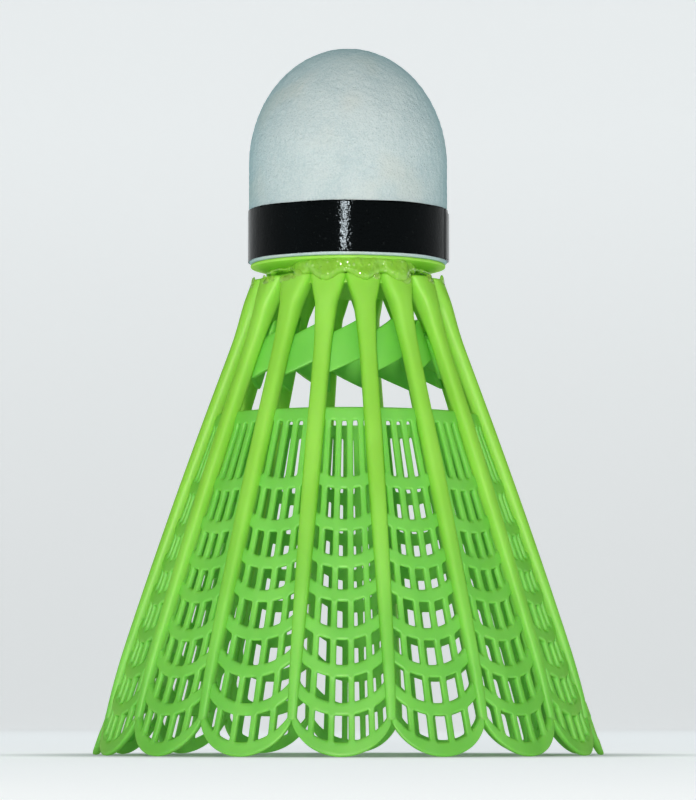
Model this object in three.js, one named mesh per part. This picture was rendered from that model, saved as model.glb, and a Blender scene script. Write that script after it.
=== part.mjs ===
// Badminton shuttlecock with a moulded nylon skirt, standing on its hem with the head up.
// Millimetres, +Z up, origin at the centre of the hem's lowest plane.
import * as THREE from 'three';

// Skirt: the outline that all of its pieces follow
const skirtHeight = 63.9;        // hem plane to the head's lower rim
const hemStemRadius = 33.2;      // stem centre lines, produced down to the hem plane
const crownStemRadius = 10.2;    // stem centre lines, produced up to the head's rim
const skirtBow = 1.6;            // outward bow of the stems' centre lines
const stemCount = 16;

// Stems: round rods that thicken towards the crown
const stemDiameter = 2.35;       // from the mesh ring up to the vanes
const stemHemDiameter = 1.15;    // at the cusps of the hem
const stemFlare = 0.65;          // added to the diameter at the crown
const stemFlareLength = 8.0;
const stemSides = 8;
const stemSteps = 6;

// Mesh panels between the stems, from the ring down to the scalloped hem
const openHeight = 19.85;        // head's rim down to the mesh ring
const wall = 0.9;                // measured level, from the axis outwards
const stemProud = 0.35;          // how far a stem's centre stands outside the wall, in diameters
const ringHeight = 1.85;
const rowShares = [7.2, 3.8, 3.1, 2.6, 3.2, 3.0, 3.1, 3.2];  // rows of openings, top to bottom
const arcHeight = 1.6;           // scalloped bars between the rows
const hemHeight = 1.8;
const ribCount = 4;
const ribTopWidth = 0.6;
const ribHemWidth = 0.85;
const hemSag = 4.25;             // how far the scallops hang below their own cusps
const ringSag = 0.4;             // the same at the ring, where the bars are almost level
const openingTopSag = 0.72;      // share of the sag at the upper edge of an opening

// Vanes: slanted strips behind the stems, one in each gap above the ring
const vaneHeight = 5.0;
const vaneWall = 0.9;
const vaneCentreDrop = 11.7;     // head's rim down to the middle of a vane
const vaneRise = 2.5;            // from one end of a vane to the other
const vaneTwist = 0.9;           // how much further in the high end lies

// Crown: collar and flange under the head, and the hollow plug inside it
const flangeInset = 0.25;        // inside the head's rim
const flangeThickness = 0.7;
const collarDrop = 3.4;          // head's rim down to the collar's lower edge
const plugRadius = 6.6;
const plugWall = 2.1;
const plugLength = 9.0;          // above the flange

// Glue between the flange and the stems' top ends
const glueThickness = 0.4;
const glueWidth = 2.4;

// Head: a domed cover on a solid core, with a band round its lower end
const headRadius = 13.0;
const headLength = 28.5;
const domeHeight = 15.4;         // the dome is half an ellipsoid, a little taller than round
const coverWall = 0.8;
const bandHeight = 6.7;
const bandWall = 0.25;
const bandDrop = 0.4;            // head's rim up to the band's lower edge
const bandSeat = 0.25;           // depth of the shallow seat under the band

const gap = 0.3;                 // between pieces that touch or are glued
const roundSegments = 40;
const domeSegments = 7;

const pitch = (2 * Math.PI) / stemCount;

const finishes = {
  foam: { color: 0xc8d6d4, roughness: 0.9, metalness: 0 },
  core: { color: 0xb89468, roughness: 0.95, metalness: 0 },
  band: { color: 0x0a0c0b, roughness: 0.18, metalness: 0 },
  nylon: { color: 0x83d43c, roughness: 0.38, metalness: 0 },
  glue: { color: 0xb4dc78, roughness: 0.1, metalness: 0 },
};

const shuttlecock = new THREE.Group();

function addPiece(name, geometry, finish) {
  const piece = new THREE.Mesh(geometry, new THREE.MeshStandardMaterial(finishes[finish]));
  piece.name = name;
  shuttlecock.add(piece);
  return piece;
}

// Outlines shared by the stems, the mesh and the vanes, as radii at a height
function stemCentreRadius(z) {
  const t = z / skirtHeight;
  const straight = hemStemRadius + (crownStemRadius - hemStemRadius) * t;
  return straight + skirtBow * t * (1 - t);
}

// Heights that the pieces share
const meshTop = skirtHeight - openHeight;
const flangeTop = skirtHeight - gap;
const flangeBottom = flangeTop - flangeThickness;
const glueTop = flangeBottom - gap;
const glueBottom = glueTop - glueThickness;
const stemTop = glueBottom - gap;
const cuspHeight = hemSag;
const equator = skirtHeight + headLength - domeHeight;

function stemRadius(z) {
  const along = THREE.MathUtils.clamp((z - cuspHeight) / (meshTop - cuspHeight), 0, 1);
  const taper = stemHemDiameter + (stemDiameter - stemHemDiameter) * (1 - (1 - along) ** 2);
  const flare = THREE.MathUtils.clamp((z - stemTop + stemFlareLength) / stemFlareLength, 0, 1);
  return (taper + stemFlare * flare ** 2) / 2;
}

function wallRadius(z) {
  return stemCentreRadius(z) - 2 * stemRadius(z) * stemProud;
}

const collarRadius = stemCentreRadius(stemTop) - stemRadius(stemTop) - gap;

// A point at a radius and an angle round the axis
function polar(radius, angle, z) {
  return new THREE.Vector3(radius * Math.cos(angle), radius * Math.sin(angle), z);
}

// A closed mesh from points and the flat faces that join them, each cut into a fan of triangles
function facetedMesh(points, faces) {
  const geometry = new THREE.BufferGeometry();
  const positions = points.flatMap((point) => point.toArray());
  const fan = (face) => face.slice(2).flatMap((corner, i) => [face[0], face[i + 1], corner]);
  const triangles = faces.flatMap(fan);
  geometry.setAttribute('position', new THREE.Float32BufferAttribute(positions, 3));
  geometry.setIndex(triangles);
  geometry.computeVertexNormals();
  return geometry;
}

// A turned solid; the outline is [radius, height] pairs, anticlockwise with the axis on the left
function turned(outline) {
  const profile = outline.map(([radius, height]) => new THREE.Vector2(radius, height));
  const geometry = new THREE.LatheGeometry(profile, roundSegments);
  return geometry.rotateX(Math.PI / 2);
}

// Outline of half an ellipsoid from its equator to its top, without the equator's own point
function dome(radius, height, equator) {
  const outline = [];
  for (let step = 1; step < domeSegments; step += 1) {
    const turn = (step / domeSegments) * (Math.PI / 2);
    outline.push([radius * Math.cos(turn), equator + height * Math.sin(turn)]);
  }
  outline.push([0, equator + height]);
  return outline;
}

// One rod: rings of points that follow the centre line, closed by a flat polygon at each end
function stemGeometry(angle) {
  const points = [];
  const faces = [];
  for (let step = 0; step <= stemSteps; step += 1) {
    const z = cuspHeight + ((stemTop - cuspHeight) * step) / stemSteps;
    for (let side = 0; side < stemSides; side += 1) {
      const turn = ((side + 0.5) / stemSides) * 2 * Math.PI;
      const out = stemCentreRadius(z) + stemRadius(z) * Math.cos(turn);
      const across = stemRadius(z) * Math.sin(turn);
      const point = new THREE.Vector3(out, across, z);
      points.push(point.applyAxisAngle(new THREE.Vector3(0, 0, 1), angle));
    }
  }
  for (let step = 0; step < stemSteps; step += 1) {
    for (let side = 0; side < stemSides; side += 1) {
      const next = (side + 1) % stemSides;
      const low = step * stemSides;
      const high = low + stemSides;
      faces.push([low + side, low + next, high + next, high + side]);
    }
  }
  const sides = Array.from({ length: stemSides }, (_, side) => side);
  faces.push([...sides].reverse());
  faces.push(sides.map((side) => stemSteps * stemSides + side));
  return facetedMesh(points, faces);
}

// Half of a panel's width, as an angle round the axis
function panelHalfAngle(z) {
  return pitch / 2 - (stemRadius(z) + gap) / wallRadius(z);
}

// Column lines across a panel, from -1 at one stem to 1 at the next: openings with ribs between
function columnLines(z) {
  const width = 2 * wallRadius(z) * panelHalfAngle(z);
  const rib = ribHemWidth + ((ribTopWidth - ribHemWidth) * z) / meshTop;
  const opening = (width - ribCount * rib) / (ribCount + 1);
  const lines = [-1];
  for (let column = 0; column < 2 * ribCount + 1; column += 1) {
    const step = column % 2 === 0 ? opening : rib;
    lines.push(lines[column] + (2 * step) / width);
  }
  return lines;
}

// Share of the sag at a place across the panel: a circle's arc, flat over the middle opening
function arcShare(across, flat, sag, halfWidth) {
  const radius = (halfWidth ** 2 + sag ** 2) / (2 * sag);
  const drop = (share) => radius - Math.sqrt(radius ** 2 - (share * halfWidth) ** 2);
  const reach = Math.max(Math.abs(across), flat);
  return (drop(reach) - drop(flat)) / (drop(1) - drop(flat));
}

// Row lines of a panel from the hem up: height in the middle, and the sag to its edges
function rowLines() {
  const lines = [];
  const bars = ringHeight + hemHeight + arcHeight * (rowShares.length - 1);
  const shareHeight = (meshTop - bars) / rowShares.reduce((sum, share) => sum + share, 0);
  const sagAt = (z) => hemSag + ((ringSag - hemSag) * z) / meshTop;
  let z = 0;
  lines.push({ z, sag: sagAt(z) });
  z += hemHeight;
  for (const share of [...rowShares].reverse()) {
    lines.push({ z, sag: sagAt(z) });
    z += share * shareHeight;
    lines.push({ z, sag: sagAt(z) * openingTopSag });
    z += arcHeight;
  }
  lines.push({ z: meshTop, sag: 0 });
  return lines;
}

// One panel: a grid of cells on an inner and an outer skin, walled round each opening
function panelGeometry(angle) {
  const rows = rowLines();
  const columns = 2 * ribCount + 1;
  const skins = [wall / 2, -wall / 2];
  const points = [];
  for (const offset of skins) {
    for (const row of rows) {
      const lines = columnLines(row.z);
      const flat = Math.abs(lines[ribCount]);
      const halfWidth = wallRadius(row.z) * (pitch / 2);
      for (const across of lines) {
        const share = row.sag > 0 ? arcShare(across, flat, row.sag, halfWidth) : 0;
        const z = row.z + row.sag * share;
        const turn = angle + across * panelHalfAngle(z);
        points.push(polar(wallRadius(z) + offset, turn, z));
      }
    }
  }
  const skinSize = rows.length * (columns + 1);
  const at = (skin, row, column) => skin * skinSize + row * (columns + 1) + column;
  const isOpening = (row, column) => row % 2 === 1 && column % 2 === 0 && row < rows.length - 2;
  const isSolid = (row, column) => row >= 0 && row < rows.length - 1
    && column >= 0 && column < columns && !isOpening(row, column);
  const faces = [];
  for (let row = 0; row < rows.length - 1; row += 1) {
    for (let column = 0; column < columns; column += 1) {
      if (!isSolid(row, column)) continue;
      const corners = [[row, column], [row, column + 1], [row + 1, column + 1], [row + 1, column]];
      faces.push(corners.map(([r, c]) => at(0, r, c)));
      faces.push(corners.map(([r, c]) => at(1, r, c)).reverse());
      const neighbours = [[row - 1, column], [row, column + 1], [row + 1, column], [row, column - 1]];
      neighbours.forEach(([r, c], side) => {
        if (isSolid(r, c)) return;
        const [r0, c0] = corners[side];
        const [r1, c1] = corners[(side + 1) % 4];
        faces.push([at(0, r1, c1), at(0, r0, c0), at(1, r0, c0), at(1, r1, c1)]);
      });
    }
  }
  return facetedMesh(points, faces);
}

// One vane: a six-sided strip that rises, and turns inwards, from one stem to the next
function vaneGeometry(angle) {
  const middle = skirtHeight - vaneCentreDrop;
  const points = [];
  for (const end of [-0.5, 0.5]) {
    for (const level of [-0.5, 0.5]) {
      const z = middle + end * vaneRise + level * vaneHeight;
      const outside = stemCentreRadius(z) - stemRadius(z) - gap - (end + 0.5) * vaneTwist;
      const turn = angle + end * (pitch - gap / (outside - vaneWall));
      points.push(polar(outside, turn, z));
      points.push(polar(outside - vaneWall, turn, z));
    }
  }
  const faces = [[0, 4, 6, 2], [1, 3, 7, 5], [0, 2, 3, 1], [4, 5, 7, 6], [2, 6, 7, 3], [0, 1, 5, 4]];
  return facetedMesh(points, faces);
}

// Crown: plug closed at its top and open below, with its flange and collar in one outline
function crownGeometry() {
  const flangeRadius = headRadius - flangeInset;
  const plugTop = flangeTop + plugLength;
  const bottom = skirtHeight - collarDrop;
  return turned([
    [0, plugTop - plugWall],
    [plugRadius - plugWall, plugTop - plugWall],
    [plugRadius - plugWall, bottom],
    [plugRadius, bottom],
    [collarRadius, stemTop],
    [collarRadius, flangeBottom],
    [flangeRadius, flangeBottom],
    [flangeRadius, flangeTop],
    [plugRadius, flangeTop],
    [plugRadius, plugTop],
    [0, plugTop],
  ]);
}

// Glue: a flat ring that fills the step between the flange and the stems
function glueGeometry() {
  const inner = collarRadius + gap;
  const outer = inner + glueWidth;
  return turned([
    [inner, glueBottom],
    [outer, glueBottom],
    [outer, glueTop],
    [inner, glueTop],
    [inner, glueBottom],
  ]);
}

// Core: a domed solid with a blind bore for the plug
function coreGeometry() {
  const inset = coverWall + gap;
  const radius = headRadius - inset;
  const boreRadius = plugRadius + gap;
  const boreTop = skirtHeight - gap + plugLength + gap;
  return turned([
    [0, boreTop],
    [boreRadius, boreTop],
    [boreRadius, skirtHeight],
    [radius, skirtHeight],
    [radius, equator],
    ...dome(radius, domeHeight - inset, equator),
  ]);
}

// Cover: a thin domed cup over the core, with a shallow seat for the band
function coverGeometry() {
  const inner = headRadius - coverWall;
  const seatLow = skirtHeight + bandDrop - gap / 2;
  const seatHigh = skirtHeight + bandDrop + bandHeight + gap / 2;
  const innerDome = [[inner, equator], ...dome(inner, domeHeight - coverWall, equator)].reverse();
  return turned([
    ...innerDome,
    [inner, skirtHeight],
    [headRadius, skirtHeight],
    [headRadius, seatLow],
    [headRadius - bandSeat, seatLow],
    [headRadius - bandSeat, seatHigh],
    [headRadius, seatHigh],
    [headRadius, equator],
    ...dome(headRadius, domeHeight, equator),
  ]);
}

// Band: a thin hoop of tape on its seat
function bandGeometry() {
  const low = skirtHeight + bandDrop;
  const high = low + bandHeight;
  return turned([
    [headRadius, low],
    [headRadius + bandWall, low],
    [headRadius + bandWall, high],
    [headRadius, high],
    [headRadius, low],
  ]);
}

addPiece('head_cover', coverGeometry(), 'foam');
addPiece('head_core', coreGeometry(), 'core');
addPiece('band', bandGeometry(), 'band');
addPiece('crown_plug', crownGeometry(), 'nylon');
addPiece('glue_ring', glueGeometry(), 'glue');

for (let stem = 0; stem < stemCount; stem += 1) {
  const number = String(stem + 1).padStart(2, '0');
  addPiece(`stem_${number}`, stemGeometry(stem * pitch), 'nylon');
  addPiece(`vane_${number}`, vaneGeometry((stem + 0.5) * pitch), 'nylon');
  addPiece(`mesh_panel_${number}`, panelGeometry((stem + 0.5) * pitch), 'nylon');
}

export default shuttlecock;
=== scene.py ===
import math

import bpy
import numpy as np
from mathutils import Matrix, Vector


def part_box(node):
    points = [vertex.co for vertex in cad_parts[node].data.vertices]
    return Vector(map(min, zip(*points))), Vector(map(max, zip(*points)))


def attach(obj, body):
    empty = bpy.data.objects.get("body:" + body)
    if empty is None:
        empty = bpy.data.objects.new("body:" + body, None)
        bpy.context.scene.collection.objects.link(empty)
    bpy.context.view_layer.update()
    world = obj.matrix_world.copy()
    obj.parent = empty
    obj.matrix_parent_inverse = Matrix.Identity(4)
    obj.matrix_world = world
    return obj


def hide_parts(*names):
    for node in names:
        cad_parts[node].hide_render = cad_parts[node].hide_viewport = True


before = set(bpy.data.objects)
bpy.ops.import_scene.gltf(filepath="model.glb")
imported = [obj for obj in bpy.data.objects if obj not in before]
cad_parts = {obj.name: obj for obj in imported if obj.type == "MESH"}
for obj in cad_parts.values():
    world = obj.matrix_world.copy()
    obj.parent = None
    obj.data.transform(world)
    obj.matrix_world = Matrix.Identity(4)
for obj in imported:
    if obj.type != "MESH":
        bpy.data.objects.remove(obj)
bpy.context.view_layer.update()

mm = 0.001            # the pieces' measures below are in millimetres
nearAxis = 0.3        # radius of a turned outline's first and last ring, whose middles are closed
print("frame loaded")


# what the frame gives, in millimetres

def spanOf(node):
    # the lowest and highest corner of a CAD node's box
    low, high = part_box(node)
    return np.array(low) / mm, np.array(high) / mm

headLow, headHigh = spanOf("head_cover")
bandLow, bandHigh = spanOf("band")
crownLow, crownHigh = spanOf("crown_plug")
stemLow, stemHigh = spanOf("stem_01")
panelHigh = spanOf("mesh_panel_01")[1]

headRadius = (headHigh[0] - headLow[0]) / 2
headRim = headLow[2]
headTop = headHigh[2]
flangeRadius = (crownHigh[0] - crownLow[0]) / 2
plugTop = crownHigh[2]
stemTop = stemHigh[2]
cuspHeight = stemLow[2]
meshTop = panelHigh[2]
stemCount = sum(name.startswith("stem_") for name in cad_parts)
pitch = 2 * math.pi / stemCount


# meshes from whole arrays

def facing(points, faces):
    # six times the volume is the sum of a . (b x c) over the faces, positive when they point outwards;
    # a face turned round keeps a triangle's repeated corner last
    corners = points[faces[:, :3]]
    volume = np.einsum("ij,ij->i", corners[:, 0], np.cross(corners[:, 1], corners[:, 2])).sum()
    return faces if volume > 0 else faces[:, [1, 0, 3, 2]]


def gridQuads(rings, around, closed=False):
    # quads between neighbouring rings; each ring runs round, and closed joins the last ring to the first
    ring = np.arange(rings if closed else rings - 1)[:, None]
    step = np.arange(around)[None, :]
    nextRing, nextStep = (ring + 1) % rings, (step + 1) % around
    corners = [ring * around + step, ring * around + nextStep,
               nextRing * around + nextStep, nextRing * around + step]
    return np.stack([corner.ravel() for corner in corners], axis=1)


def sweptShell(points, closed=False):
    # points[ring, step, xyz] as one closed surface; open ends are closed by a fan to their middle
    rings, around = points.shape[:2]
    flat = points.reshape(-1, 3)
    faces = gridQuads(rings, around, closed)
    if not closed:
        middles = points[[0, -1]].mean(axis=1)
        step = np.arange(around)
        following = (step + 1) % around
        count = len(flat)
        first = np.stack([np.full(around, count), following, step, step], axis=1)
        base = (rings - 1) * around
        last = np.stack([np.full(around, count + 1), step, following, following], axis=1)
        last[:, 1:] += base
        flat = np.vstack([flat, middles])
        faces = np.vstack([faces, first, last])
    return flat, facing(flat, faces)


def meshObject(name, points, faces, material):
    # points in metres and faces of four corners, a triangle's last one repeated and here left out
    surface = bpy.data.meshes.new(name)
    corners = np.where(faces[:, 3] == faces[:, 2], 3, 4)
    surface.vertices.add(len(points))
    surface.vertices.foreach_set("co", points.ravel())
    surface.loops.add(int(corners.sum()))
    surface.loops.foreach_set("vertex_index", faces[np.arange(4)[None, :] < corners[:, None]])
    surface.polygons.add(len(faces))
    surface.polygons.foreach_set("loop_start", np.cumsum(corners) - corners)
    surface.polygons.foreach_set("use_smooth", np.ones(len(faces), dtype=bool))
    surface.update(calc_edges=True)
    surface.materials.append(material)
    made = bpy.data.objects.new(name, surface)
    bpy.context.scene.collection.objects.link(made)
    return made


def makePiece(name, points, faces, material, slotName, *nodes):
    # a piece of the shuttlecock from points in millimetres; the CAD nodes that it stands for are hidden
    piece = meshObject(name, points * mm, faces, material)
    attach(piece, "root")
    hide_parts(*nodes)


def polar(radius, angle, height):
    # points (r cos a, r sin a, z) from radii, angles and heights that broadcast together
    radius, angle, height = np.broadcast_arrays(radius, angle, height)
    return np.stack([radius * np.cos(angle), radius * np.sin(angle), height], axis=-1)


def turnedAbout(points, angle):
    # points turned round the upright axis: (x cos a - y sin a, x sin a + y cos a, z)
    cosine, sine = math.cos(angle), math.sin(angle)
    return points @ np.array([[cosine, sine, 0], [-sine, cosine, 0], [0, 0, 1]])


def easeEnds(count):
    # values (1 - cos t) / 2 from 0 to 1, which lie closer together near both ends
    return 0.5 - 0.5 * np.cos(np.linspace(0, math.pi, count))


def smooth(t):
    # 3 t^2 - 2 t^3 between 0 and 1, level at both ends
    t = np.clip(t, 0, 1)
    return t * t * (3 - 2 * t)


def squared(turn, power):
    # cosine and sine raised to a low power with their signs kept, which squares a round section's corners
    cosine, sine = np.cos(turn), np.sin(turn)
    return np.sign(cosine) * np.abs(cosine) ** power, np.sign(sine) * np.abs(sine) ** power


def ripples(points, wavelengths, waves, seed):
    # a smooth random field: the sum of sin(k . p + phase) over waves in random directions, about -1 to 1
    rng = np.random.default_rng(seed)
    directions = rng.normal(size=(waves, 3))
    directions /= np.linalg.norm(directions, axis=1)[:, None]
    numbers = 2 * math.pi / rng.uniform(*wavelengths, size=waves)
    phases = rng.uniform(0, 2 * math.pi, size=waves)
    total = np.sin(points @ (directions * numbers[:, None]).T + phases).sum(axis=-1)
    return total * math.sqrt(2 / waves) / 2


# shader maths as expressions on sockets

class Wire:
    # one output socket of a material's node tree
    def __init__(self, shader, socket):
        self.shader = shader
        self.socket = socket

    def maths(self, operation, *values):
        return self.shader.node("ShaderNodeMath", {"operation": operation}, dict(enumerate(values)))

    def __add__(self, other):
        return self.maths("ADD", self, other)

    def __radd__(self, other):
        return self.maths("ADD", other, self)

    def __sub__(self, other):
        return self.maths("SUBTRACT", self, other)

    def __rsub__(self, other):
        return self.maths("SUBTRACT", other, self)

    def __mul__(self, other):
        return self.maths("MULTIPLY", self, other)

    def __rmul__(self, other):
        return self.maths("MULTIPLY", other, self)

    def between(self, low, high):
        # 0 below low, 1 above high and a smooth rise from one to the other
        inputs = {"Value": self, "From Min": low, "From Max": high}
        settings = {"interpolation_type": "SMOOTHSTEP"}
        return self.shader.node("ShaderNodeMapRange", settings, inputs)

    def spread(self, low, high):
        # 0 to 1 carried to low to high
        return self.shader.node("ShaderNodeMapRange", {}, {"Value": self, "To Min": low, "To Max": high})


class Shader:
    # a new material whose fixed socket values are set at once
    def __init__(self, name, fixed):
        self.material = bpy.data.materials.new(name)
        self.material.use_nodes = True
        self.tree = self.material.node_tree
        self.surface = self.tree.nodes["Principled BSDF"]
        for socket, value in fixed.items():
            self.surface.inputs[socket].default_value = value
        self.place = self.node("ShaderNodeTexCoord", {}, {}, "Object")

    def node(self, kind, settings, inputs, output=0):
        # settings first, then the sockets, each a value or a wire
        made = self.tree.nodes.new(kind)
        for key, value in settings.items():
            setattr(made, key, value)
        for socket, value in inputs.items():
            if isinstance(value, Wire):
                self.tree.links.new(value.socket, made.inputs[socket])
            else:
                made.inputs[socket].default_value = value
        return Wire(self, made.outputs[output])

    def noise(self, size, detail=2.0, stretch=(1, 1, 1), roughness=0.5):
        # soft noise whose blobs are about size across, in metres
        place = self.node("ShaderNodeMapping", {}, {"Vector": self.place, "Scale": stretch})
        inputs = {"Vector": place, "Scale": 1 / size, "Detail": detail, "Roughness": roughness}
        return self.node("ShaderNodeTexNoise", {}, inputs)

    def cells(self, size):
        # distance to the nearest of scattered points that are about size apart
        return self.node("ShaderNodeTexVoronoi", {}, {"Vector": self.place, "Scale": 1 / size}, "Distance")

    def blend(self, mask, first, second):
        # colour that goes from first to second with the mask; 6 and 7 are the Mix node's two colour sockets
        return self.node("ShaderNodeMix", {"data_type": "RGBA"}, {0: mask, 6: first, 7: second}, 2)

    def bump(self, height, distance):
        # a normal tilted by the slope of a height, which is distance metres deep from 0 to 1
        return self.node("ShaderNodeBump", {}, {"Height": height, "Distance": distance})

    def feed(self, **wires):
        # links wires to the surface's sockets, such as baseColor or roughness
        names = {"baseColor": "Base Color", "roughness": "Roughness", "normal": "Normal", "alpha": "Alpha",
                 "emission": "Emission Color"}
        for key, wire in wires.items():
            self.tree.links.new(wire.socket, self.surface.inputs[names[key]])
        return self.material


def colour(red, green, blue):
    return (red, green, blue, 1.0)


# materials

foam = {
    "pale": colour(0.745, 0.775, 0.775),
    "shade": colour(0.60, 0.67, 0.685),
    "warm": colour(0.75, 0.74, 0.70),
    "edgeTint": colour(0.86, 0.95, 0.96),  # painted shade: a coat tint that makes the head darker and tealer where it turns away
    "grain": 0.00022,      # size of the nubs, in metres
    "grainDepth": 0.00016,
    "mottle": 0.0035,      # size of the soft patches
    "rough": (0.78, 0.95),
}

def foamMaterial():
    fixed = {
        "Specular IOR Level": 0.2,
        "Coat Weight": 1.0,
        "Coat IOR": 1.05,
        "Coat Roughness": 1.0,
        # painted shade: the coat's tint darkens and cools the head's edges
        "Coat Tint": foam["edgeTint"],
    }
    shader = Shader("paleFoam", fixed)
    grain = shader.noise(foam["grain"], 3.0, roughness=0.65)
    mottle = shader.noise(foam["mottle"], 2.0)
    pits = 1 - shader.cells(foam["grain"] * 2.2).between(0.05, 0.45)
    patches = shader.noise(foam["mottle"] * 1.8, 1.0).between(0.5, 0.72)
    mask = (grain * 0.7 + mottle * 0.3).between(0.34, 0.6)
    plain = shader.blend(mask, foam["shade"], foam["pale"])
    height = grain * 0.8 + mottle * 0.5 - pits * 0.25
    return shader.feed(
        baseColor=shader.blend(patches * 0.6, plain, foam["warm"]),
        roughness=grain.spread(*foam["rough"]),
        normal=shader.bump(height, foam["grainDepth"]),
    )


tape = {
    "colour": colour(0.0012, 0.0016, 0.0015),
    "dust": colour(0.02, 0.025, 0.024),
    "shine": colour(0.72, 0.88, 1.0),
    "ripple": 0.0018,      # size of its soft waves, in metres
    "rippleDepth": 0.00004,
    "speck": 0.00035,      # and of the fine grain
    "specular": 0.075,
    "rough": 0.04,         # where it is cleanest
    "scuffRough": 0.2,     # added to that in a scuff
}

def tapeMaterial():
    fixed = {
        "IOR": 1.45,
        "Specular IOR Level": tape["specular"],
        "Specular Tint": tape["shine"],
    }
    shader = Shader("blackTape", fixed)
    ripple = shader.noise(tape["ripple"], 1.5, stretch=(1, 1, 0.6))
    specks = shader.noise(tape["speck"], 2.0)
    scuffs = specks.between(0.66, 0.78)
    return shader.feed(
        baseColor=shader.blend(scuffs * 0.5, tape["colour"], tape["dust"]),
        roughness=ripple * 0.06 + scuffs * tape["scuffRough"] + tape["rough"],
        normal=shader.bump(ripple + specks * 0.58, tape["rippleDepth"]),
    )


nylon = {
    "body": colour(0.255, 0.745, 0.16),
    "deep": colour(0.21, 0.675, 0.13),
    "edgeTint": colour(0.94, 0.985, 0.74),  # tints the surface where it turns away
    "yellow": (0.12, 0.07, -0.03),  # added to both in the stems and the crown, more and more with height
    "yellowFrom": 0.002,            # metres above the hem plane
    "yellowTo": 0.040,
    "flow": 0.006,                  # size of the soft flow marks
    "rough": 0.34,                  # where it is smoothest
    "grain": 0.00025,
    "grainDepth": 0.000008,
    "glow": 0.35,                   # share of light that travels inside the wall
    "reach": 0.0011,                # how far that light travels
}

def nylonMaterial(name, yellow):
    # yellow is 1 for the pieces that turn yellower towards the crown and 0 for the others
    fixed = {
        "IOR": 1.53,
        "Coat Weight": 1.0,
        "Coat IOR": 1.05,
        "Coat Roughness": 1.0,
        "Coat Tint": nylon["edgeTint"],
        "Subsurface Weight": nylon["glow"],
        "Subsurface Radius": (0.7, 1.0, 0.15),
        "Subsurface Scale": nylon["reach"],
        "Specular IOR Level": 0.5,
    }
    shader = Shader(name, fixed)
    flow = shader.noise(nylon["flow"], 2.0, stretch=(1, 1, 0.35))
    grain = shader.noise(nylon["grain"], 2.0)
    height = shader.node("ShaderNodeSeparateXYZ", {}, {"Vector": shader.place}, "Z")
    ripe = height.between(nylon["yellowFrom"], nylon["yellowTo"]) * yellow
    marks = flow.between(0.35, 0.65)
    plain = shader.blend(marks, nylon["deep"], nylon["body"])
    added = np.array([*nylon["yellow"], 0])
    warm = shader.blend(marks, tuple(nylon["deep"] + added), tuple(nylon["body"] + added))
    return shader.feed(
        baseColor=shader.blend(ripe, plain, warm),
        roughness=flow * 0.12 + grain * 0.1 + nylon["rough"],
        normal=shader.bump(grain + flow * 0.6, nylon["grainDepth"]),
    )


glue = {
    "clear": colour(0.30, 0.66, 0.06),
    "froth": colour(0.55, 0.84, 0.30),
    "bubble": 0.0007,      # size of a bubble, in metres
    "depth": 0.00006,
    "rough": (0.06, 0.22),
    "solid": (0.93, 1.0),  # how much of it blocks the view, from clear to frothy
}

def glueMaterial():
    fixed = {
        "IOR": 1.48,
        "Coat Weight": 0.35,
        "Coat Roughness": 0.05,
        "Subsurface Weight": 0.4,
        "Subsurface Radius": (0.8, 1.0, 0.4),
        "Subsurface Scale": 0.0012,
    }
    shader = Shader("clearGlue", fixed)
    bubbles = 1 - shader.cells(glue["bubble"]).between(0.1, 0.42)
    swirl = shader.noise(glue["bubble"] * 2.4, 2.0)
    froth = bubbles * swirl.between(0.5, 0.66) * 0.6
    return shader.feed(
        baseColor=shader.blend(froth, glue["clear"], glue["froth"]),
        roughness=swirl.spread(*glue["rough"]),
        alpha=froth.spread(*glue["solid"]),
        normal=shader.bump(bubbles + swirl * 0.8, glue["depth"]),
    )


paleFoam = foamMaterial()
blackTape = tapeMaterial()
limeNylon = nylonMaterial("limeNylon", 0.0)
stemNylon = nylonMaterial("stemNylon", 1.0)
clearGlue = glueMaterial()
print("materials made")


# outlines that the skirt's pieces share, as radii at a height above the hem plane

skirt = {
    "hemRadius": 33.2,     # stem centre lines at the hem plane
    "crownRadius": 10.2,   # and at the head's rim
    "bow": 1.6,            # four times how far they bow outwards halfway
    "stem": 2.15,          # stem diameter from the mesh ring to the vanes
    "stemHem": 1.15,
    "stemProud": 0.35,     # stem centres outside the wall, in diameters
    "wall": 0.88,          # of the mesh
}

def stemCentreRadius(z):
    # hem + (crown - hem) t + bow t (1 - t), where t is the share of the height up to the head's rim
    t = z / headRim
    return skirt["hemRadius"] + (skirt["crownRadius"] - skirt["hemRadius"]) * t + skirt["bow"] * t * (1 - t)

def stemDiameter(z):
    # hem + (full - hem) (1 - (1 - a)^2), where a is the share of the height up to the mesh ring
    along = np.clip((z - cuspHeight) / (meshTop - cuspHeight), 0, 1)
    return skirt["stemHem"] + (skirt["stem"] - skirt["stemHem"]) * (1 - (1 - along) ** 2)

def wallRadius(z):
    # the middle of the mesh wall, a fixed share of a stem's diameter inside the stems' centre line
    return stemCentreRadius(z) - stemDiameter(z) * skirt["stemProud"]


# head cover

head = {
    "dome": 15.4,          # the dome is half an ellipsoid, a little taller than round
    "rimRound": 0.5,       # radius of the rim's lower edge
    "lumps": 0.04,         # height of the nubs in the shape itself
    "lumpSize": (0.55, 1.1),
    "lumpWaves": 70,
    "bore": 6.65,          # hole that takes the skirt's plug, and its room above the plug
    "boreRoom": 0.05,
    "around": 360,         # points in a ring, and rings in each stretch of the outline
    "baseRings": 8,
    "rimRings": 8,
    "sideRings": 61,
    "domeRings": 110,
}

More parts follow.
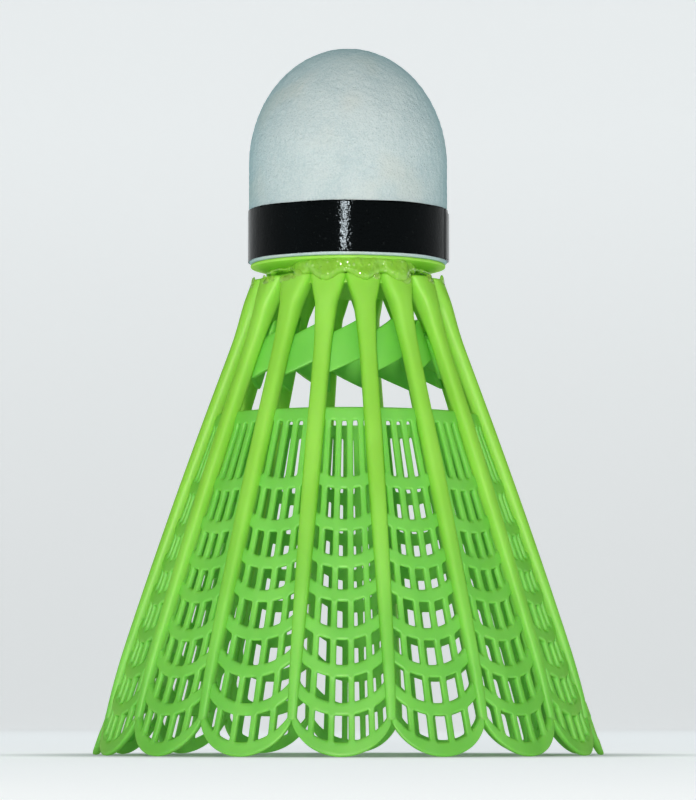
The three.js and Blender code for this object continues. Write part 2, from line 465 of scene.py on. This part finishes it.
def headShell():
    # outline: the bore, a level base, a quarter circle, an upright side, then the dome's quarter ellipse
    # r = R cos t, z = equator + dome sin t; carried round the axis and moved outwards by the nubs
    equator = headTop - head["dome"]
    turn = np.linspace(0, math.pi / 2, head["domeRings"])[1:-1]
    rim = np.linspace(-math.pi / 2, 0, head["rimRings"])
    rimCentre = np.array([headRadius - head["rimRound"], headRim + head["rimRound"]])
    outward = np.linspace(head["bore"], rimCentre[0], head["baseRings"])[:-1]
    level = np.stack([outward, np.full(len(outward), headRim)], axis=1)
    boreTop = plugTop + head["boreRoom"]
    base = np.vstack([[(nearAxis, boreTop), (head["bore"], boreTop)], level])
    corner = rimCentre + head["rimRound"] * np.stack([np.cos(rim), np.sin(rim)], axis=1)
    upward = np.linspace(corner[-1, 1], equator, head["sideRings"])[1:]
    side = np.stack([np.full(len(upward), headRadius), upward], axis=1)
    dome = np.stack([headRadius * np.cos(turn), equator + head["dome"] * np.sin(turn)], axis=1)
    outline = np.vstack([base, corner, side, dome])
    angle = np.arange(head["around"]) / head["around"] * 2 * math.pi
    points = polar(outline[:, :1], angle, outline[:, 1:])
    bumps = ripples(points, head["lumpSize"], head["lumpWaves"], seed=4)
    away = points - np.array([0, 0, equator])
    away[:, :, 2] = np.maximum(away[:, :, 2], 0)
    away /= np.linalg.norm(away, axis=2)[:, :, None]
    depth = head["lumps"] * (bumps - 1)
    depth[: len(base)] = 0
    return sweptShell(points + away * depth[:, :, None])

points, faces = headShell()
makePiece("headCover", points, faces, paleFoam, "foam", "head_cover", "head_core")
print("head made")


# tape band, wound once with a short overlap

band = {
    "thickness": 0.11,
    "clear": 0.012,        # from the head to its inner face
    "overlap": 0.42,       # angle, in radians
    "start": -0.04,        # angle at which the winding starts
    "climb": 0.06,         # angle over which it steps up onto its own start
    "loose": 0.3,          # angle over which the loose end lifts
    "lift": 0.2,           # how far that end stands off
    "step": 0.45,          # how much narrower the second layer is at the top
    "stepLow": 0.18,       # and at the bottom
    "square": 0.25,        # power that squares the section's corners
    "wave": 0.05,          # how far its edges wander
    "lower": 0.1,          # how much further down it reaches than its middle line says
    "steps": 360,
    "section": 40,
}

def bandShell():
    # a squared ellipse of thickness by height wound along the turn: its inner radius grows by one thickness
    # where it climbs over its own start, and by lift t^2 over the loose end; sines make its edges wander
    turn = np.linspace(0, 2 * math.pi + band["overlap"], band["steps"])
    climb = smooth((turn - 2 * math.pi) / band["climb"] + 1)
    loose = np.clip((turn - turn[-1]) / band["loose"] + 1, 0, 1) ** 2
    inner = headRadius + band["clear"] + climb * band["thickness"] + loose * band["lift"]
    around = np.linspace(0, 2 * math.pi, band["section"], endpoint=False)
    across, along = squared(around, band["square"])
    across = across * band["thickness"] / 2
    middle = (bandLow[2] + bandHigh[2]) / 2
    half = (bandHigh[2] - bandLow[2]) / 2 - band["wave"]
    top = half + band["wave"] * np.sin(3 * turn + 1.0) * np.cos(5 * turn) - climb * band["step"]
    low = half + band["wave"] * np.cos(4 * turn + 2.2) * np.sin(3 * turn) - climb * band["stepLow"]
    reach = np.where(along > 0, top[:, None], low[:, None] + band["lower"])
    radius = inner[:, None] + band["thickness"] / 2 + across[None, :]
    angle = (turn + band["start"])[:, None]
    return sweptShell(polar(radius, angle, middle + along[None, :] * reach))

points, faces = bandShell()
makePiece("tapeBand", points, faces, blackTape, "band", "band")
print("band made")


# crown: web, collar, flange and plug in one turned outline

crown = {
    "flange": 0.4,            # thickness at its rim
    "slope": 1.0,             # how far its underside drops towards the collar
    "edge": 0.18,             # rounding of every corner
    "collar": 9.1,
    "funnel": 10.0,           # outer radius of the hollow under the crown
    "web": 11.4,              # outer radius of the ring that joins the stems' tops, at its upper edge
    "webSlope": 0.45,         # added to that radius at its lower edge
    "webHeight": 1.5,
    "webFace": (-0.05, 0.1),  # its upper face at its edge and at the collar, above the stems' tops
    "sunk": 0.02,             # top face below the head's rim
    "bore": 4.5,              # hollow of the plug, and its wall
    "plugWall": 2.1,
    "boreStart": 0.1,         # from the flange's underside up to where the funnel becomes the bore
    "around": 192,
}

def roundedOutline(corners, radius, steps=6, most=0.45):
    # each inner corner c of an outline becomes the curve (1 - t)^2 a + 2 t (1 - t) c + t^2 b,
    # where a and b lie on its two sides at the rounding's reach, and most is the share of a side it may take
    corners = np.array(corners, dtype=float)
    sides = np.diff(corners, axis=0)
    lengths = np.linalg.norm(sides, axis=1)
    reach = np.minimum(radius, np.minimum(lengths[:-1], lengths[1:]) * most)[:, None]
    middle = corners[1:-1]
    start = middle - sides[:-1] / lengths[:-1, None] * reach
    end = middle + sides[1:] / lengths[1:, None] * reach
    t = np.linspace(0, 1, steps)[None, :, None]
    curve = (1 - t) ** 2 * start[:, None] + 2 * t * (1 - t) * middle[:, None] + t ** 2 * end[:, None]
    return np.vstack([corners[:1], curve.reshape(-1, 2), corners[-1:]])

def crownShell():
    # an outline (r, z) carried round the axis as (r cos a, r sin a, z): from the plug's end down its bore
    # and the hollow, out along the web, up the collar, round the flange and up the plug's outside
    flangeTop = headRim - crown["sunk"]
    flangeBottom = flangeTop - crown["flange"]
    webBottom = stemTop - crown["webHeight"]
    boreTop = plugTop - crown["plugWall"]
    outside = crown["bore"] + crown["plugWall"]
    corners = [
        (nearAxis, boreTop), (crown["bore"], boreTop), (crown["bore"], flangeBottom + crown["boreStart"]),
        (crown["funnel"], webBottom), (crown["web"] + crown["webSlope"], webBottom),
        (crown["web"], stemTop + crown["webFace"][0]), (crown["collar"], stemTop + crown["webFace"][1]),
        (crown["collar"], flangeBottom - crown["slope"]),
        (flangeRadius, flangeBottom), (flangeRadius, flangeTop), (outside, flangeTop), (outside, plugTop),
        (nearAxis, plugTop),
    ]
    radius, height = roundedOutline(corners, crown["edge"]).T[:, :, None]
    angle = np.arange(crown["around"]) / crown["around"] * 2 * math.pi
    return sweptShell(polar(radius, angle, height))

points, faces = crownShell()
makePiece("skirtCrown", points, faces, stemNylon, "nylon", "crown_plug")
print("crown made")


# stems

stems = {
    "swell": 0.75,         # added to the width between the vanes and the crown
    "swellLength": 11.0,   # from where the swell starts up to the top
    "swellWhole": 2.5,     # from where it is whole up to the top
    "flare": 2.1,          # added again where the tops run together
    "flareLength": 4.1,
    "flareDepth": 0.95,    # added to the depth at the crown
    "sink": 0.42,          # how far the hem's end sinks into the wall
    "sinkLength": 10.0,
    "hemFlat": 0.18,       # share of the depth that is lost at the hem's end
    "lift": 0.1,           # from the cusp up to its lower end
    "tip": 0.35,           # rounding of both ends
    "tipLeast": 0.01,      # share of it where the end ring is closed
    "square": 2.6,         # 2 is a round section, more is squarer
    "rings": 84,
    "around": 28,
}

def stemShell():
    # a superellipse round the centre line at each height z: |out / depth| ** n + |side / width| ** n = 1;
    # width = diameter + swell + flare, and both halves shrink by a quarter circle towards the two ends
    along = easeEnds(stems["rings"])
    lowest = cuspHeight + stems["lift"]
    z = lowest + (stemTop - lowest) * along
    swell = smooth((z - stemTop + stems["swellLength"]) / (stems["swellLength"] - stems["swellWhole"]))
    flare = np.clip((z - stemTop + stems["flareLength"]) / stems["flareLength"], 0, 1)
    fromEnd = np.minimum(z - z[0], z[-1] - z) / stems["tip"]
    ends = np.sqrt(1 - (1 - np.clip(fromEnd, stems["tipLeast"], 1)) ** 2)
    low = np.clip(1 - (z - cuspHeight) / stems["sinkLength"], 0, 1) ** 2
    width = (stemDiameter(z) + stems["swell"] * swell + stems["flare"] * flare) / 2 * ends
    depth = (stemDiameter(z) * (1 - stems["hemFlat"] * low) + stems["flareDepth"] * swell ** 2) / 2 * ends
    out, side = squared(np.arange(stems["around"]) / stems["around"] * 2 * math.pi, 2 / stems["square"])
    radius = (stemCentreRadius(z) - stems["sink"] * low)[:, None] + depth[:, None] * out[None, :]
    across = width[:, None] * side[None, :]
    return sweptShell(np.stack([radius, across, np.broadcast_to(z[:, None], radius.shape)], axis=2))

points, faces = stemShell()
for number in range(stemCount):
    turned = turnedAbout(points, number * pitch)
    makePiece(f"stem{number + 1:02d}", turned, faces, stemNylon, "nylon", f"stem_{number + 1:02d}")
print("stems made")


# vanes

vanes = {
    "height": 5.25,
    "wall": 0.95,          # its thickness
    "drop": 11.7,          # head's rim down to the middle of a vane
    "rise": 2.6,           # how much higher its high end is than its low end
    "inside": 1.0,         # outer face at the low end, inside the stems' centre line
    "twist": 0.9,          # and how much further inside at the high end
    "seam": 0.05,          # height of the fine line along the middle
    "seamWidth": 0.12,
    "square": 0.3,         # power that squares the section's corners
    "rings": 30,
    "section": 56,
}

def vaneShell():
    # a squared ellipse of wall by height carried from one stem to the next: at the share e of the way,
    # z = middle + rise e + level and radius = stems' centre line - inside - twist (e + 1/2) + across
    end = np.linspace(-0.5, 0.5, vanes["rings"])
    across, level = squared(np.linspace(0, 2 * math.pi, vanes["section"], endpoint=False), vanes["square"])
    across, level = across * vanes["wall"] / 2, level * vanes["height"] / 2
    across = across + vanes["seam"] * np.exp(-(level / vanes["seamWidth"]) ** 2) * (across > 0)
    z = headRim - vanes["drop"] + end[:, None] * vanes["rise"] + level[None, :]
    inside = vanes["inside"] + vanes["wall"] / 2 + (end[:, None] + 0.5) * vanes["twist"]
    return sweptShell(polar(stemCentreRadius(z) - inside + across[None, :], end[:, None] * pitch, z))

points, faces = vaneShell()
for number in range(stemCount):
    turned = turnedAbout(points, (number + 0.5) * pitch)
    makePiece(f"vane{number + 1:02d}", turned, faces, limeNylon, "nylon", f"vane_{number + 1:02d}")
print("vanes made")


# mesh panels

mesh = {
    "ring": 1.85,          # height of the solid ring, of a bar between two rows and of the hem
    "bar": 1.6,
    "hem": 1.8,
    "rows": [7.2, 3.8, 3.1, 2.6, 3.2, 3.0, 3.1, 3.2],  # shares of the rest, top to bottom
    "ribs": 4,
    "ribTop": 0.80,        # width of a rib at the ring and at the hem
    "ribHem": 0.80,
    "spaceTop": 1.30,      # from rib to rib at the ring
    "spaceHem": 2.6,
    "sagHem": 4.25,        # how much higher an arc's ends are than its middle, at the hem and at the ring
    "sagRing": 0.35,
    "topSag": 0.74,        # share of the sag at an opening's upper edge
    "leastSag": 0.001,     # for the ring's level top, which is an arc of a very large circle
    "fillet": 0.08,        # rounding of the openings' corners, and its reach across as a share of that
    "filletReach": 0.8,
    "edge": 0.17,          # rounding of every edge, seen in section
    "relief": 0.2,         # how much thinner the ribs are than the arcs, as a share
    "stemBite": 0.9,       # how much of a stem covers the panel's edge, in stem radii
    "fade": 0.35,          # height over which the ribs thin away from the arcs
    "leastGap": 0.05,      # narrowest opening beside a stem
    "rowParts": 8,         # cells in each row, rib, opening and edge strip
    "ribParts": 8,
    "openParts": 5,
    "edgeParts": 4,
}

def sagAt(height):
    # the sag of an arc, on a straight line from the hem to the ring
    return mesh["sagHem"] + (mesh["sagRing"] - mesh["sagHem"]) * height / meshTop

def rowLines():
    # height in the middle and sag of each line between two rows, from the hem up
    bars = mesh["ring"] + mesh["hem"] + mesh["bar"] * (len(mesh["rows"]) - 1)
    scale = (meshTop - bars) / sum(mesh["rows"])
    z = 0.0
    lines = [(z, sagAt(z))]
    z += mesh["hem"]
    for share in reversed(mesh["rows"]):
        lines.append((z, sagAt(z)))
        z += share * scale
        lines.append((z, sagAt(z) * mesh["topSag"]))
        z += mesh["bar"]
    lines.append((meshTop, 0.0))
    return np.array(lines)

def stretches(counts):
    # for each line of a grid, the number of the stretch that it lies in and its share of the way across it
    number = np.append(np.repeat(np.arange(len(counts)), counts), len(counts) - 1)
    share = np.concatenate([easeEnds(count + 1)[:-1] for count in counts] + [[1.0]])
    return number, share

def stripBorders(z, widen):
    # x from the panel's middle at each height: the wall's end, the stem's side, each rib's two sides at
    # (number - middle) space -+ rib / 2, and the same mirrored; widen rounds the openings' corners
    down = 1 - z / meshTop
    half = wallRadius(z) * pitch / 2
    rib = mesh["ribTop"] + (mesh["ribHem"] - mesh["ribTop"]) * down
    space = mesh["spaceTop"] + (mesh["spaceHem"] - mesh["spaceTop"]) * down
    ribs = []
    for number in range(mesh["ribs"]):
        centre = (number - (mesh["ribs"] - 1) / 2) * space
        ribs += [centre - rib / 2 - widen, centre + rib / 2 + widen]
    side = half - stemDiameter(z) / 2 * mesh["stemBite"] - widen
    side = np.maximum(side, ribs[-1] + mesh["leastGap"])
    return np.stack([-half, -side, *ribs, side, half])

def edgeFall(strip, share, row, rise, width, height):
    # 1 - distance / rounding, 1 at an edge and 0 from the rounding inwards; the ends of a rib on an arc, and
    # of an arc on a rib or a stem, are no edges, and the panel's own border is one
    far = 99.0  # further than any edge
    first, last = strip == 0, strip == strip[-1]
    hem, ring = (row == 0)[:, None], (row == row[-1])[:, None]
    left, right = share * width, (1 - share) * width
    down, up = rise * height, (1 - rise) * height
    toSide = np.where(strip % 2 == 1, 0.0, np.minimum(left, right))
    toSide = np.where(first, right, np.where(last, left, toSide))
    toRow = np.where((row % 2 == 1)[:, None], 0.0, np.minimum(down, up))
    toRow = np.where(hem, up, np.where(ring, down, toRow))
    toBorder = np.minimum(np.where(first, left, np.where(last, right, far)),
                          np.where(hem, down, np.where(ring, up, far)))
    near = np.minimum(np.hypot(toSide, toRow), toBorder)
    return np.clip(1 - near / mesh["edge"], 0, 1)

def twoSkins(z, across, offset, solid):
    # the solid cells at radius wall + offset and again at wall - offset; the two skins share the points on
    # the border of the solid cells, which closes the shell
    angle = across / wallRadius(z)
    skins = [polar(wallRadius(z) + side * offset, angle, z).reshape(-1, 3) for side in (1, -1)]
    padded = np.pad(solid, 1).astype(int)
    touching = padded[:-1, :-1] + padded[1:, :-1] + padded[:-1, 1:] + padded[1:, 1:]
    outer = np.arange(z.size)
    inner = np.where(((touching > 0) & (touching < 4)).ravel(), outer, outer + z.size)
    grid = outer.reshape(z.shape)
    cells = np.stack([grid[:-1, :-1], grid[:-1, 1:], grid[1:, 1:], grid[1:, :-1]], axis=2)[solid]
    used, compact = np.unique(np.vstack([cells, inner[cells][:, ::-1]]), return_inverse=True)
    kept = np.vstack(skins)[used]
    return kept, facing(kept, compact.reshape(-1, 4))

def panelShell():
    # a grid of strips and rows on the wall's cone, odd ones with openings where they cross; a row's line lies
    # at z = middle + R - sqrt(R^2 - x^2), with R from its sag, and the half wall is wall / 2 sqrt(1 - f^2)
    lines = rowLines()
    edge, opening, rib = mesh["edgeParts"], mesh["openParts"], mesh["ribParts"]
    strip, share = stretches([edge] + [opening, rib] * mesh["ribs"] + [opening, edge])
    row, rise = stretches([mesh["rowParts"]] * (len(lines) - 1))
    rise = rise[:, None]
    middle, sag = (lines[row] + (lines[row + 1] - lines[row]) * rise).T[:, :, None]
    height = (lines[row + 1, 0] - lines[row, 0])[:, None]
    openStrip, openRow = strip % 2 == 1, (row % 2 == 1)[:, None]
    toArc = np.minimum(rise, 1 - rise) * height * openRow
    widen = mesh["fillet"] * (1 - np.sqrt(1 - np.clip(1 - toArc / mesh["fillet"], 0, 1) ** 2))
    z = np.broadcast_to(middle, (len(row), len(strip)))
    columns = np.arange(len(strip))
    for _ in range(6):  # height and width depend on each other, and settle in a few turns
        borders = stripBorders(z, widen * mesh["filletReach"])
        low, high, half = borders[strip, :, columns].T, borders[strip + 1, :, columns].T, borders[-1]
        across = low + (high - low) * share
        depth = np.maximum(sag, mesh["leastSag"])
        circle = (half ** 2 + depth ** 2) / (2 * depth)
        z = middle + circle - np.sqrt(circle ** 2 - np.minimum(np.abs(across), half) ** 2)
    fall = edgeFall(strip, share, row, rise, high - low, height)
    inset = np.clip(np.minimum(rise, 1 - rise) * height / mesh["fade"], 0, 1) * openRow
    offset = skirt["wall"] / 2 * np.sqrt(1 - fall ** 2) * (1 - mesh["relief"] * inset)
    return twoSkins(z, across, offset, ~(openRow[:-1] & openStrip[:-1]))

points, faces = panelShell()
for number in range(stemCount):
    turned = turnedAbout(points, (number + 0.5) * pitch)
    name = f"{number + 1:02d}"
    makePiece(f"meshPanel{name}", turned, faces, limeNylon, "nylon", f"mesh_panel_{name}")
print("mesh made, with", len(faces), "faces in each panel")


# glue, squeezed out unevenly between the flange and the stems

bead = {
    "radius": 10.2,            # middle of its section where it is thinnest
    "spill": 1.45,             # added to that where it is thickest
    "lift": 0.1,               # how much higher it lies there
    "thin": (0.45, 0.3),       # half width and half height where it is thinnest
    "thick": (0.85, 0.88),     # added to those where it is thickest
    "facing": -1.24,           # angle of its thickest place
    "share": 0.15,             # the lower, the more of the ring is thick
    "sharp": 1.6,              # how quickly it goes from thin to thick
    "uneven": (0.12, 0.1),     # heights of two finer waves round the ring
    "between": 0.75,           # share of the thick half width that it gains between two stems
    "atStem": 0.4,             # added to that share over a stem
    "drape": 0.5,              # how far it hangs over each stem
    "drapeOut": 1.1,           # how far its lower half stands out over the stems
    "outBetween": 0.4,         # and its share of that between two stems
    "lumps": 0.15,             # height of the lumps in its skin, and their size
    "lumpSize": (0.9, 2.4),
    "fineLumps": 0.4,          # share of that height in the finer ones, and their size
    "fineSize": (0.35, 0.7),
    "lumpWaves": 60,
    "around": 640,
    "section": 26,
    "drops": 96,               # loose drops, shared out evenly over the stems' tops
    "dropSize": (0.35, 0.7),
    "dropLeast": 0.75,         # share of that size where least glue came out
    "dropScatter": 0.045,      # spread to either side of its stem, in radians
    "firstDrop": 1.45,         # how much larger each stem's first one is
    "dropOut": 1.4,            # from the stems' centre line to the middle of a drop
    "dropBelow": (0.15, 1.2),  # from the stems' tops down to its middle
    "dropFlat": 0.36,          # its depth as a share of its width
    "dropLumps": 0.18,         # height of its lumps as a share of its size, and their own size
    "dropLumpSize": (0.8, 1.8),
    "dropWaves": 12,
    "dropUp": 14,
    "dropAround": 22,
}

def gluePour(turn):
    # 1 where most glue came out and 0 where least did: cos 2(a - facing) and two finer waves, clipped
    waves = np.cos(2 * (turn - bead["facing"]))
    waves = waves + bead["uneven"][0] * np.sin(5 * turn + 1.0) + bead["uneven"][1] * np.sin(9 * turn)
    return np.clip(0.5 + bead["sharp"] * (waves - bead["share"]), 0, 1)

def beadShell():
    # a closed ring of ellipses (halfWidth cos u, halfHeight sin u) that grow with the pour and at each stem,
    # hang outwards below their middle, and have a skin moved along (cos u, sin u) by two sizes of lumps
    turn = np.arange(bead["around"]) / bead["around"] * 2 * math.pi
    section = np.arange(bead["section"]) / bead["section"] * 2 * math.pi
    pour = gluePour(turn)[:, None]
    atStem = (0.5 + 0.5 * np.cos(turn * stemCount))[:, None]
    middle = (stemTop + headRim - crown["flange"]) / 2 + pour * (bead["lift"] - bead["drape"] * atStem)
    halfWidth = bead["thin"][0] + bead["thick"][0] * pour * (bead["between"] + bead["atStem"] * atStem)
    halfHeight = bead["thin"][1] + pour * (bead["thick"][1] + bead["drape"] * atStem)
    over = bead["outBetween"] + (1 - bead["outBetween"]) * atStem
    hang = bead["drapeOut"] * pour * over * np.maximum(-np.sin(section), 0)
    radius = bead["radius"] + bead["spill"] * pour + halfWidth * np.cos(section) + hang
    height = middle + halfHeight * np.sin(section)
    points = polar(radius, turn[:, None], height)
    outward = polar(np.cos(section), turn[:, None], np.sin(section))
    coarse = ripples(points, bead["lumpSize"], bead["lumpWaves"], seed=9)
    fine = ripples(points, bead["fineSize"], bead["lumpWaves"], seed=3)
    depth = (coarse + bead["fineLumps"] * fine) * bead["lumps"]
    return sweptShell(points + outward * depth[:, :, None], closed=True)

def glueDrops():
    # balls (cos v cos u, cos v sin u, sin v), flattened, made lumpy and set at random on the stems' tops
    rng = np.random.default_rng(12)
    rise = np.linspace(-math.pi / 2, math.pi / 2, bead["dropUp"] + 2)[1:-1][:, None]
    turn = np.arange(bead["dropAround"]) / bead["dropAround"] * 2 * math.pi
    ball = polar(np.cos(rise), turn, np.sin(rise))
    allPoints, allFaces, count = [], [], 0
    for number in range(bead["drops"]):
        angle = (number % stemCount) * pitch + rng.normal(0, bead["dropScatter"])
        poured = bead["dropLeast"] + (1 - bead["dropLeast"]) * gluePour(angle)
        size = rng.uniform(*bead["dropSize"]) * poured
        size = size * bead["firstDrop"] if number < stemCount else size
        z = stemTop - rng.uniform(*bead["dropBelow"])
        centre = np.array([stemCentreRadius(z) + bead["dropOut"], 0, z])
        drop = ball * np.array([bead["dropFlat"], 1.0, 1.0]) * size
        lumps = ripples(drop + centre * angle, bead["dropLumpSize"], bead["dropWaves"], seed=21)
        drop = drop * (1 + bead["dropLumps"] * lumps)[:, :, None]
        points, faces = sweptShell(turnedAbout(drop + centre, angle))
        allPoints.append(points)
        allFaces.append(faces + count)
        count += len(points)
    return np.vstack(allPoints), np.vstack(allFaces)

points, faces = beadShell()
drops, dropFaces = glueDrops()
points, faces = np.vstack([points, drops]), np.vstack([faces, dropFaces + len(points)])
makePiece("glueBead", points, faces, clearGlue, "glue", "glue_ring")
print("glue made")


# floor, lights and camera

studio = {
    "floor": colour(0.58, 0.60, 0.605),
    "floorRadius": 1.9,    # metres
    "wallRadius": 2.3,
    "wallHeight": 0.5,
    "glow": 0.95,          # light of its own, far from the object
    "paintedShadowGlow": 0.12,      # share of that light under the object: painted shadow there and inside the skirt
    "paintedShadowCore": 0.024,     # metres from the axis to where that share ends, the painted shadow's dark core
    "paintedShadowEdge": 0.055,    # and to its full light, the painted shadow's outer edge
    "air": colour(0.95, 0.97, 1.0),
    "airGlow": 0.06,
    "around": 96,
    "hub": 0.05,           # radius of the floor's innermost ring
    "levelRings": 12,
    "bendRings": 16,
}

def floorShell():
    # a level disc, then a quarter circle up to a low wall, all carried round the axis, in metres
    around = studio["around"]
    turn = np.linspace(0, math.pi / 2, studio["bendRings"])
    bend = studio["wallRadius"] - studio["floorRadius"]
    flat = np.linspace(studio["hub"], studio["floorRadius"], studio["levelRings"])
    radius = np.concatenate([flat, studio["floorRadius"] + bend * np.sin(turn[1:]), [studio["wallRadius"]]])
    height = np.concatenate([0 * flat, bend * (1 - np.cos(turn[1:])), [studio["wallHeight"]]])
    angle = np.arange(around) / around * 2 * math.pi
    rings = polar(radius[:, None], angle, height[:, None])
    points = np.vstack([rings.reshape(-1, 3), [[0, 0, 0]]])
    step = np.arange(around)
    middle = np.full(around, len(points) - 1)
    fan = np.stack([(step + 1) % around, step, middle, middle], axis=1)
    return points, np.vstack([gridQuads(len(radius), around), fan])

def floorMaterial():
    # gives off light of its own, which fades under the object with the distance from the axis: a painted
    # shadow round its foot and under the skirt
    fixed = {
        "Base Color": studio["floor"],
        "Roughness": 0.85,
        "Specular IOR Level": 0.2,
        "Emission Strength": studio["glow"],
    }
    shader = Shader("paleFloor", fixed)
    flat = shader.node("ShaderNodeVectorMath", {"operation": "MULTIPLY"}, {0: shader.place, 1: (1, 1, 0)})
    away = shader.node("ShaderNodeVectorMath", {"operation": "LENGTH"}, {0: flat}, "Value")
    # painted shadow: near the axis the floor glows at only a share of its light
    near = tuple(np.array(studio["floor"]) * studio["paintedShadowGlow"])
    full = away.between(studio["paintedShadowCore"], studio["paintedShadowEdge"])
    return shader.feed(emission=shader.blend(full, near, studio["floor"]))

meshObject("studioFloor", *floorShell(), floorMaterial())

camera = {
    "distance": 0.55,
    "lens": 190.0,
    "side": -77.3,         # angle round the axis, in degrees
    "height": 0.0045,      # just above the hem plane
    "nearest": 0.01,       # what it can see, in metres from it
    "furthest": 20,
}
middleOfAll = (0, 0, headTop * mm / 2)  # what the camera and the lamps point at

def aimed(thing, place, target):
    # puts a camera or lamp at a place and turns its view, which is along its own -z, towards the target
    place = np.array(place, dtype=float)
    direction = Vector(np.array(target) - place)
    thing.location = place
    thing.rotation_euler = direction.to_track_quat("-Z", "Y").to_euler()

def studioCamera():
    # stands at distance (cos a, sin a) from the axis, where a is the side
    side = math.radians(camera["side"])
    place = (camera["distance"] * math.cos(side), camera["distance"] * math.sin(side), camera["height"])
    data = bpy.data.cameras.new("viewCamera")
    data.lens = camera["lens"]
    data.clip_start = camera["nearest"]
    data.clip_end = camera["furthest"]
    viewer = bpy.data.objects.new("viewCamera", data)
    bpy.context.scene.collection.objects.link(viewer)
    aimed(viewer, place, middleOfAll)
    bpy.context.scene.camera = viewer

studioCamera()

lamps = {
    # degrees from the camera's side, distance, height, width, length, power and colour of each lamp
    "front": (-4, 0.9, 0.19, 0.042, 0.10, 4.4, (1.0, 0.93, 0.87)),
    "left": (-62, 1.0, 0.5, 0.4, 0.6, 0.3, (0.6, 0.9, 1.0)),
    "right": (66, 1.0, 0.6, 0.4, 0.6, 0.3, (0.6, 0.9, 1.0)),
    "back": (180, 0.7, 1.1, 0.9, 0.9, 4.6, (0.82, 0.95, 1.0)),
}

def studioLamps():
    for name, (turn, distance, height, width, tall, power, tint) in lamps.items():
        angle = math.radians(camera["side"] + turn)
        data = bpy.data.lights.new(name + "Lamp", "AREA")
        data.shape = "RECTANGLE"
        data.size = width
        data.size_y = tall
        data.energy = power
        data.color = tint
        lamp = bpy.data.objects.new(name + "Lamp", data)
        bpy.context.scene.collection.objects.link(lamp)
        aimed(lamp, (distance * math.cos(angle), distance * math.sin(angle), height), middleOfAll)

studioLamps()

world = bpy.data.worlds.new("studioWorld")
world.use_nodes = True
world.node_tree.nodes["Background"].inputs["Color"].default_value = studio["air"]
world.node_tree.nodes["Background"].inputs["Strength"].default_value = studio["airGlow"]
bpy.context.scene.world = world
bpy.context.scene.view_settings.view_transform = "Standard"
print("studio made")
